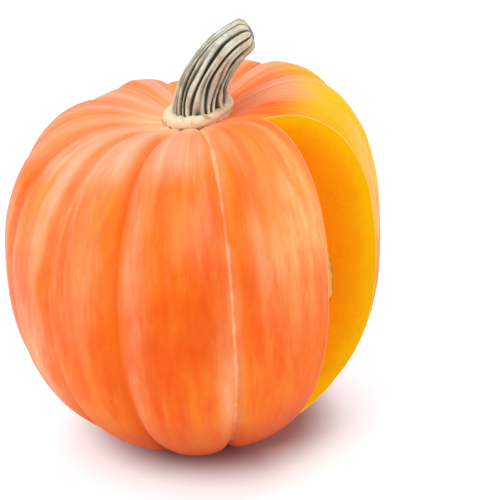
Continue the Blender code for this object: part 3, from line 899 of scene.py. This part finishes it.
def stem_point(around, polar):
    """A point of the stem: on its foot, the collar's rounded lip, the furrowed stalk or the cut tip."""
    ring = round(polar / math.pi * STEM_RINGS)
    up = STEM_RINGS - ring - FOOT_RINGS
    facing = Vector((math.sin(around), -math.cos(around), 0))
    pinch = collar_share(around)
    lumpiness = noise.noise(3.5 * facing + Vector((0, 0, 4)))
    if up <= LIP_RINGS:
        turn = LIP_START + (LIP_END - LIP_START) * max(0, up) / LIP_RINGS
        fullness = ((pinch - 1 + COLLAR_PINCH) / COLLAR_PINCH) ** 2
        thickness = LIP_RADIUS * (LIP_THINNEST + (1 - LIP_THINNEST) * fullness)
        thickness *= 1 + LIP_LUMPINESS * lumpiness
        middle, direction = stem_path(0)
        middle = direction * (LIP_LEVEL + thickness * math.sin(turn) + FOOT_DEPTH * min(0, up) / FOOT_RINGS)
        radius = COLLAR_RADIUS * pinch * (1 + COLLAR_LUMPINESS * lumpiness) - thickness * (1 - math.cos(turn))
        radius += LIP_ROUGHNESS * noise.fractal(9 * facing + Vector((0, 0, 2 * turn)), 1.0, 2.0, 3)
        collar = 1.0 - max(0.0, up / LIP_RINGS - CORK_SHARE) / (1 - CORK_SHARE)
        share, furrow, cap = 0.0, 0.0, 1.0
        if ring == STEM_RINGS:
            radius = 0
    else:
        walk = (up - LIP_RINGS) / (STEM_RINGS - FOOT_RINGS - LIP_RINGS - CAP_RINGS - ROUNDING_RINGS)
        share = (STALK_START + (1 - STALK_START) * min(1.0, walk)) * (1 - TIP_ROUNDING / STEM_RUN)
        middle, direction = stem_path(share)
        middle = middle + Vector((NECK_SHIFT_RIGHT * (1 - share), 0, 0))
        twisting = around + STALK_TWIST * share
        twisting += FURROW_WANDER * noise.noise(2.4 * facing + Vector((0, 0, 3 * share)))
        wandering = SIDE_FURROW_WANDER * noise.noise(1.7 * facing + Vector((0, 0, 1.3 * share)))
        main = abs(math.sin(FURROW_COUNT * twisting / 2)) ** FURROW_SHARPNESS
        side = abs(math.cos(FURROW_COUNT * twisting / 2 + wandering)) ** FURROW_SHARPNESS
        side_depth = 1.15 - 1.3 * share + 0.8 * noise.noise(2.3 * facing + Vector((5, 0, 2 * share)))
        side *= max(0.0, min(SIDE_FURROW_DEEPEST, side_depth))
        main *= 0.9 + 0.6 * noise.noise(4 * facing + Vector((0, 0, 1.5 * share)))
        furrow = min(1.0, main + side)
        grown = min(1.0, (share - RIDGE_START) / RIDGE_GROWTH)
        ridges = (RIDGE_HEIGHT - FURROW_DROP * furrow) * grown * (1 - RIDGE_FADING * share)
        bark = BARK_ROUGHNESS * noise.fractal(12 * facing + Vector((0, 0, 10 * share)), 1.0, 2.0, 3)
        radius = NECK_RADIUS + (TIP_RADIUS - NECK_RADIUS) * share**STALK_TAPERING
        radius += ridges + bark - STALK_FOOT_INSET * (1 - grown)
        collar = 0.0
        cap = min(1.0, ring / CAP_RINGS)
        rounding = min(1.0, max(0.0, (ring - CAP_RINGS) / ROUNDING_RINGS))
        if rounding < 1:
            middle, direction = stem_path(1)
            back = TIP_ROUNDING * (1 - math.cos(rounding * math.pi / 2)) - TIP_BULGE * (1 - cap**2)
            middle = middle - direction * back
            radius = (radius - TIP_ROUNDING * (1 - math.sin(rounding * math.pi / 2))) * cap
    rightward = Vector((0, 1, 0)).cross(direction)
    point = middle + radius * (math.sin(around) * rightward - math.cos(around) * Vector((0, 1, 0)))
    placed = RESTING @ (point + Vector((STEM_OFFSET_RIGHT, 0, stem_foot)))
    stem_marks[tuple(round(value, 6) for value in placed)] = (furrow, collar, share, cap)
    return placed


stem_foot = outer_point(0, 0, 0).z + SEAT_LIFT
stem = placed_sphere("furrowed_stem", STEM_COLUMNS, STEM_RINGS, stem_point)
marks = [stem_marks[tuple(round(value, 6) for value in vertex.co)] for vertex in stem.data.vertices]
for name, values in zip(("furrow", "collar", "share", "cap"), zip(*marks)):
    mark(stem, name, values)

BARK_PALE = colour(226, 226, 208)
BARK_GREY = colour(172, 176, 162)
BARK_DARK = colour(66, 72, 58)
BARK_OCHRE = colour(188, 146, 100)
CORK = colour(232, 216, 186)
CORK_BROWN = colour(206, 168, 124)
CUT_WOOD = colour(134, 120, 104)

stalk_finish, tree, shader = new_finish("dry_stalk", 0.82, 0.2)
object_place = add(tree, "TexCoord").outputs["Object"]
wood_grain = clouds(tree, object_place, 0.0016, 5.0, 0.65, (1, 1, 0.22))
wood_patches = clouds(tree, object_place, 0.009, 4.0, 0.6)
share = reading(tree, "share")
bark = coloured_by(tree, wood_patches, (0.35, BARK_GREY), (0.55, BARK_PALE))
ochre_patches = clouds(tree, object_place, 0.013, 3.0, 0.5, (1, 1, 0.5))
bark = mixed(tree, share_of(tree, ochre_patches, 0.48, 0.66, 0.0, 0.45), bark, BARK_OCHRE)
bark = mixed(tree, share_of(tree, wood_grain, 0.54, 0.74, 0.0, 0.4), bark, BARK_OCHRE)
bark = mixed(tree, share_of(tree, reading(tree, "furrow"), 0.04, 0.25, 0.0, 0.5), bark, BARK_GREY)
bark = mixed(tree, share_of(tree, reading(tree, "furrow"), 0.15, 0.55, 0.0, 0.94), bark, BARK_DARK)
bark = mixed(tree, share_of(tree, share, 0.8, 1.0, 0.0, 0.4), bark, BARK_OCHRE)
# Painted shade: brown at the foot of the stalk, just above the collar.
bark = mixed(tree, share_of(tree, share, 0.05, 0.13, 0.6, 0.0), bark, CREVICE_SHADE_BROWN)
cork_patches = clouds(tree, object_place, 0.005, 3.0, 0.5)
cork = coloured_by(tree, cork_patches, (0.30, CORK_BROWN), (0.42, CORK))
bark = mixed(tree, share_of(tree, reading(tree, "collar"), 0.2, 0.8), bark, cork)
bark = mixed(tree, share_of(tree, reading(tree, "cap"), 0.70, 0.99, 0.8, 0.0), bark, CUT_WOOD)
tree.links.new(bark, shader.inputs["Base Color"])
relief = plus(tree, wood_grain, wood_patches)
tree.links.new(bumped(tree, relief, 0.0007, 0.7), shader.inputs["Normal"])
stem.data.materials.append(stalk_finish)
smooth_finish(stem, STEM_SHARP_ANGLE)
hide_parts("stem")
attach(stem, "root")

# Stage. A white studio floor with a painted shadow round the pumpkin's foot, under soft white light from all
# round, brightest from the upper left, and the camera above the pumpkin and in front of it, looking down at it.

FLOOR_WHITE = colour(234, 241, 243)
# The colour of the painted shadow round the pumpkin's foot.
FLOOR_PAINTED_SHADOW = colour(200, 158, 156)
CAMERA_ELEVATION = math.radians(24.18)
CAMERA_DISTANCE = 1.1
CAMERA_TARGET = Vector((0.0253, -0.0003, 0.1243))
CAMERA_LENS_MM = 119.6
CAMERA_SENSOR_MM = 36

bpy.ops.object.select_all(action="DESELECT")
bpy.ops.mesh.primitive_plane_add(size=14, location=(0, 0, 0))
floor = bpy.context.active_object
floor.name = "studio_floor"
floor_finish, tree, shader = new_finish("studio_white", 0.6, 0.1)
floor_place = add(tree, "TexCoord").outputs["Object"]
from_middle = add(tree, "VectorMath", {"operation": "LENGTH"}, {0: floor_place}).outputs["Value"]
# Painted shadow: the floor is darker and pinker round the pumpkin's foot.
white_with_painted_shadow = mixed(tree, share_of(tree, from_middle, 0.052, 0.092), FLOOR_PAINTED_SHADOW, FLOOR_WHITE)
tree.links.new(white_with_painted_shadow, shader.inputs["Base Color"])
shader.inputs["Emission Color"].default_value = FLOOR_WHITE
# The floor glows for the camera only, less near the pumpkin, which keeps the painted shadow there.
seen = add(tree, "LightPath").outputs["Is Camera Ray"]
glow = share_of(tree, from_middle, 0.055, 0.105, 0.0, 0.40)
tree.links.new(times(tree, seen, glow), shader.inputs["Emission Strength"])
floor.data.materials.append(floor_finish)

for name, strength, softness, place in (
    ("upper_left_light", 1.6, 60, (-1.3, -0.7, 1.4)),
    ("right_light", 0.95, 45, (1.6, -0.8, 0.9)),
    ("low_left_light", 0.35, 60, (-1.8, -0.1, 0.05)),
    ("overhead_light", 1.3, 60, (0.1, 0.5, 2.0)),
):
    lamp = bpy.data.lights.new(name, "SUN")
    lamp.energy = strength
    lamp.angle = math.radians(softness)
    lamp_object = bpy.data.objects.new(name, lamp)
    lamp_object.location = place
    lamp_object.rotation_euler = (-Vector(place)).to_track_quat("-Z", "Y").to_euler()
    bpy.context.scene.collection.objects.link(lamp_object)

world = bpy.data.worlds.new("studio")
world.use_nodes = True
world.node_tree.nodes["Background"].inputs["Color"].default_value = (1, 1, 1, 1)
seen = add(world.node_tree, "LightPath").outputs["Is Camera Ray"]
sky_strength = share_of(world.node_tree, seen, 0.0, 1.0, 0.4, 1.0)
world.node_tree.links.new(sky_strength, world.node_tree.nodes["Background"].inputs["Strength"])
bpy.context.scene.world = world
bpy.context.scene.view_settings.view_transform = "Standard"

camera_lens = bpy.data.cameras.new("camera")
camera_lens.lens = CAMERA_LENS_MM
camera_lens.sensor_width = CAMERA_SENSOR_MM
camera = bpy.data.objects.new("camera", camera_lens)
looking = Vector((0, math.cos(CAMERA_ELEVATION), -math.sin(CAMERA_ELEVATION)))
camera.location = CAMERA_TARGET - CAMERA_DISTANCE * looking
camera.rotation_euler = (math.pi / 2 - CAMERA_ELEVATION, 0, 0)
bpy.context.scene.collection.objects.link(camera)
bpy.context.scene.camera = camera
